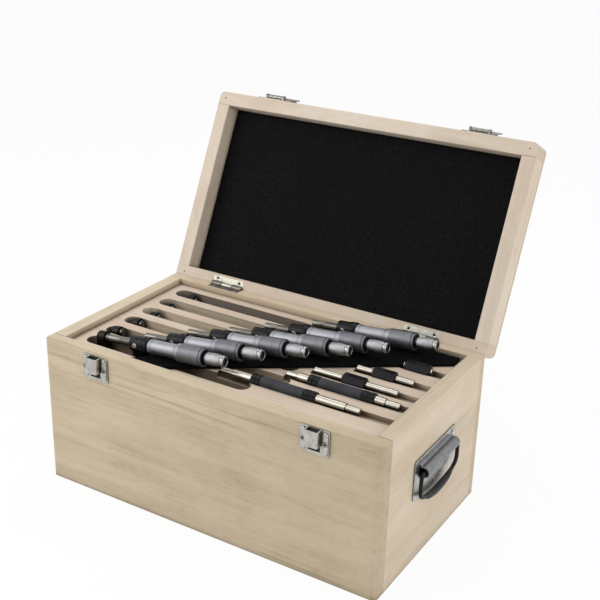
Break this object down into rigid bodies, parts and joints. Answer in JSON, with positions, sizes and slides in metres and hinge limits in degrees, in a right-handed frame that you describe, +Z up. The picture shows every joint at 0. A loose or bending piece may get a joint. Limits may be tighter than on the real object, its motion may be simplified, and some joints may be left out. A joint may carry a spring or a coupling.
{
  "type": "micrometer case",
  "caption": "Hinged wooden case standing open, with a slotted tray of outside micrometers and setting standards, black foam in the lid, draw latches and drop handles.",
  "frame": {"origin": "middle of the case's underside, on the table", "axes": "+X along the case to the right as seen from the latches, +Y to the hinges at the back, +Z up"},
  "size_m": [0.3368, 0.3012, 0.2954],
  "materials": {
    "case_wood": "pale straight-grained wood, clear satin lacquer",
    "tray_wood": "pale wood, unlacquered",
    "inner_wood": "plain pale wood",
    "pad_foam": "black closed-cell foam",
    "lid_foam": "black open-cell foam",
    "stamped_steel": "nickel-plated pressed sheet",
    "plated_pins": "plated steel",
    "bail_steel": "plated steel wire",
    "grip_plastic": "black moulded plastic",
    "frame_enamel": "black stove enamel",
    "sleeve_satin": "satin chrome",
    "spindle_steel": "ground steel",
    "thimble_satin": "satin chrome with knurled ratchet",
    "standard_steel": "ground steel with black grips"
  },
  "bodies": {
    "case": {"front_panel": "case_wood", "back_panel": "case_wood", "left_panel": "case_wood", "right_panel": "case_wood", "bottom_panel": "inner_wood", "tray_board": "tray_wood", "tray_cleats": "inner_wood", "frame_rest_block": "inner_wood", "thimble_pad": "pad_foam", "keepers": "stamped_steel", "case_hinge_leaves": "stamped_steel", "hinge_pins": "plated_pins", "case_screws": "plated_pins", "handle_plate_left": "stamped_steel", "handle_plate_right": "stamped_steel"},
    "lid": {"lid_front_rail": "case_wood", "lid_rear_rail": "case_wood", "lid_left_rail": "case_wood", "lid_right_rail": "case_wood", "lid_panel": "case_wood", "lid_foam": "lid_foam", "lid_hinge_leaves": "stamped_steel", "lid_screws": "plated_pins", "latch_bases": "stamped_steel", "latch_pins": "plated_pins"},
    "latch_left": {"hasp_left": "stamped_steel"},
    "latch_right": {"hasp_right": "stamped_steel"},
    "handle_left": {"bail_left": "bail_steel", "grip_left": "grip_plastic"},
    "handle_right": {"bail_right": "bail_steel", "grip_right": "grip_plastic"},
    "micrometer_1": {"micrometer_1_frame": "frame_enamel", "micrometer_1_sleeve": "sleeve_satin"},
    "spindle_1": {"micrometer_1_spindle": "spindle_steel"},
    "thimble_1": {"micrometer_1_thimble": "thimble_satin"},
    "micrometer_2": {"micrometer_2_frame": "frame_enamel", "micrometer_2_sleeve": "sleeve_satin"},
    "spindle_2": {"micrometer_2_spindle": "spindle_steel"},
    "thimble_2": {"micrometer_2_thimble": "thimble_satin"},
    "micrometer_3": {"micrometer_3_frame": "frame_enamel", "micrometer_3_sleeve": "sleeve_satin"},
    "spindle_3": {"micrometer_3_spindle": "spindle_steel"},
    "thimble_3": {"micrometer_3_thimble": "thimble_satin"},
    "micrometer_4": {"micrometer_4_frame": "frame_enamel", "micrometer_4_sleeve": "sleeve_satin"},
    "spindle_4": {"micrometer_4_spindle": "spindle_steel"},
    "thimble_4": {"micrometer_4_thimble": "thimble_satin"},
    "micrometer_5": {"micrometer_5_frame": "frame_enamel", "micrometer_5_sleeve": "sleeve_satin"},
    "spindle_5": {"micrometer_5_spindle": "spindle_steel"},
    "thimble_5": {"micrometer_5_thimble": "thimble_satin"},
    "micrometer_6": {"micrometer_6_frame": "frame_enamel", "micrometer_6_sleeve": "sleeve_satin"},
    "spindle_6": {"micrometer_6_spindle": "spindle_steel"},
    "thimble_6": {"micrometer_6_thimble": "thimble_satin"},
    "standard_125": {"standard_125": "standard_steel"},
    "standard_100": {"standard_100": "standard_steel"},
    "standard_75": {"standard_75": "standard_steel"},
    "standard_50": {"standard_50": "standard_steel"},
    "standard_25": {"standard_25": "standard_steel"}
  },
  "joints": [
    {"name": "lid_hinge", "type": "hinge", "parent": "case", "child": "lid", "pos_m": [0, 0.088, 0.13115], "axis": [-1, 0, 0], "range_deg": [-115, 0]},
    {"name": "latch_left", "type": "hinge", "parent": "lid", "child": "latch_left", "pos_m": [-0.103, 0.17292, 0.2928], "axis": [-1, 0, 0], "range_deg": [-170, 0]},
    {"name": "latch_right", "type": "hinge", "parent": "lid", "child": "latch_right", "pos_m": [0.103, 0.17292, 0.2928], "axis": [-1, 0, 0], "range_deg": [-170, 0]},
    {"name": "handle_left", "type": "hinge", "parent": "case", "child": "handle_left", "pos_m": [-0.1644, -0.0025, 0.082], "axis": [0, 1, 0], "range_deg": [0, 90]},
    {"name": "handle_right", "type": "hinge", "parent": "case", "child": "handle_right", "pos_m": [0.1644, -0.0025, 0.082], "axis": [0, -1, 0], "range_deg": [0, 90]},
    {"name": "micrometer_1_lift", "type": "slide", "parent": "case", "child": "micrometer_1", "axis": [0, 0, 1], "range_m": [0, 0.0494]},
    {"name": "micrometer_1_spindle", "type": "slide", "parent": "micrometer_1", "child": "spindle_1", "axis": [0.9962, 0, 0.0872], "range_m": [0, 0.025]},
    {"name": "micrometer_1_thimble", "type": "hinge", "parent": "spindle_1", "child": "thimble_1", "pos_m": [-0.02746, -0.059, 0.13808], "axis": [0.9962, 0, 0.0872], "range_deg": [0, 18000]},
    {"name": "micrometer_2_lift", "type": "slide", "parent": "case", "child": "micrometer_2", "axis": [0, 0, 1], "range_m": [0, 0.0646]},
    {"name": "micrometer_2_spindle", "type": "slide", "parent": "micrometer_2", "child": "spindle_2", "axis": [0.9925, 0, 0.1219], "range_m": [0, 0.025]},
    {"name": "micrometer_2_thimble", "type": "hinge", "parent": "spindle_2", "child": "thimble_2", "pos_m": [-0.00792, -0.0356, 0.13868], "axis": [0.9925, 0, 0.1219], "range_deg": [0, 18000]},
    {"name": "micrometer_3_lift", "type": "slide", "parent": "case", "child": "micrometer_3", "axis": [0, 0, 1], "range_m": [0, 0.0772]},
    {"name": "micrometer_3_spindle", "type": "slide", "parent": "micrometer_3", "child": "spindle_3", "axis": [0.9936, 0, 0.1132], "range_m": [0, 0.025]},
    {"name": "micrometer_3_thimble", "type": "hinge", "parent": "spindle_3", "child": "thimble_3", "pos_m": [0.01726, -0.0102, 0.13853], "axis": [0.9936, 0, 0.1132], "range_deg": [0, 18000]},
    {"name": "micrometer_4_lift", "type": "slide", "parent": "case", "child": "micrometer_4", "axis": [0, 0, 1], "range_m": [0, 0.0895]},
    {"name": "micrometer_4_spindle", "type": "slide", "parent": "micrometer_4", "child": "spindle_4", "axis": [0.9945, 0, 0.1045], "range_m": [0, 0.025]},
    {"name": "micrometer_4_thimble", "type": "hinge", "parent": "spindle_4", "child": "thimble_4", "pos_m": [0.04426, 0.0122, 0.13838], "axis": [0.9945, 0, 0.1045], "range_deg": [0, 18000]},
    {"name": "micrometer_5_lift", "type": "slide", "parent": "case", "child": "micrometer_5", "axis": [0, 0, 1], "range_m": [0, 0.101]},
    {"name": "micrometer_5_spindle", "type": "slide", "parent": "micrometer_5", "child": "spindle_5", "axis": [0.9959, 0, 0.0906], "range_m": [0, 0.025]},
    {"name": "micrometer_5_thimble", "type": "hinge", "parent": "spindle_5", "child": "thimble_5", "pos_m": [0.06624, 0.0351, 0.13814], "axis": [0.9959, 0, 0.0906], "range_deg": [0, 18000]},
    {"name": "micrometer_6_lift", "type": "slide", "parent": "case", "child": "micrometer_6", "axis": [0, 0, 1], "range_m": [0, 0.113]},
    {"name": "micrometer_6_spindle", "type": "slide", "parent": "micrometer_6", "child": "spindle_6", "axis": [0.9965, 0, 0.0837], "range_m": [0, 0.025]},
    {"name": "micrometer_6_thimble", "type": "hinge", "parent": "spindle_6", "child": "thimble_6", "pos_m": [0.09734, 0.063, 0.13801], "axis": [0.9965, 0, 0.0837], "range_deg": [0, 18000]},
    {"name": "standard_125_lift", "type": "slide", "parent": "case", "child": "standard_125", "axis": [0, 0, 1], "range_m": [0, 0.04]},
    {"name": "standard_100_lift", "type": "slide", "parent": "case", "child": "standard_100", "axis": [0, 0, 1], "range_m": [0, 0.04]},
    {"name": "standard_75_lift", "type": "slide", "parent": "case", "child": "standard_75", "axis": [0, 0, 1], "range_m": [0, 0.04]},
    {"name": "standard_50_lift", "type": "slide", "parent": "case", "child": "standard_50", "axis": [0, 0, 1], "range_m": [0, 0.04]},
    {"name": "standard_25_lift", "type": "slide", "parent": "case", "child": "standard_25", "axis": [0, 0, 1], "range_m": [0, 0.04]}
  ],
  "couplings": [
    {"joint": "micrometer_1_thimble", "follows": "micrometer_1_spindle", "rad_per_m": 12566},
    {"joint": "micrometer_2_thimble", "follows": "micrometer_2_spindle", "rad_per_m": 12566},
    {"joint": "micrometer_3_thimble", "follows": "micrometer_3_spindle", "rad_per_m": 12566},
    {"joint": "micrometer_4_thimble", "follows": "micrometer_4_spindle", "rad_per_m": 12566},
    {"joint": "micrometer_5_thimble", "follows": "micrometer_5_spindle", "rad_per_m": 12566},
    {"joint": "micrometer_6_thimble", "follows": "micrometer_6_spindle", "rad_per_m": 12566}
  ]
}
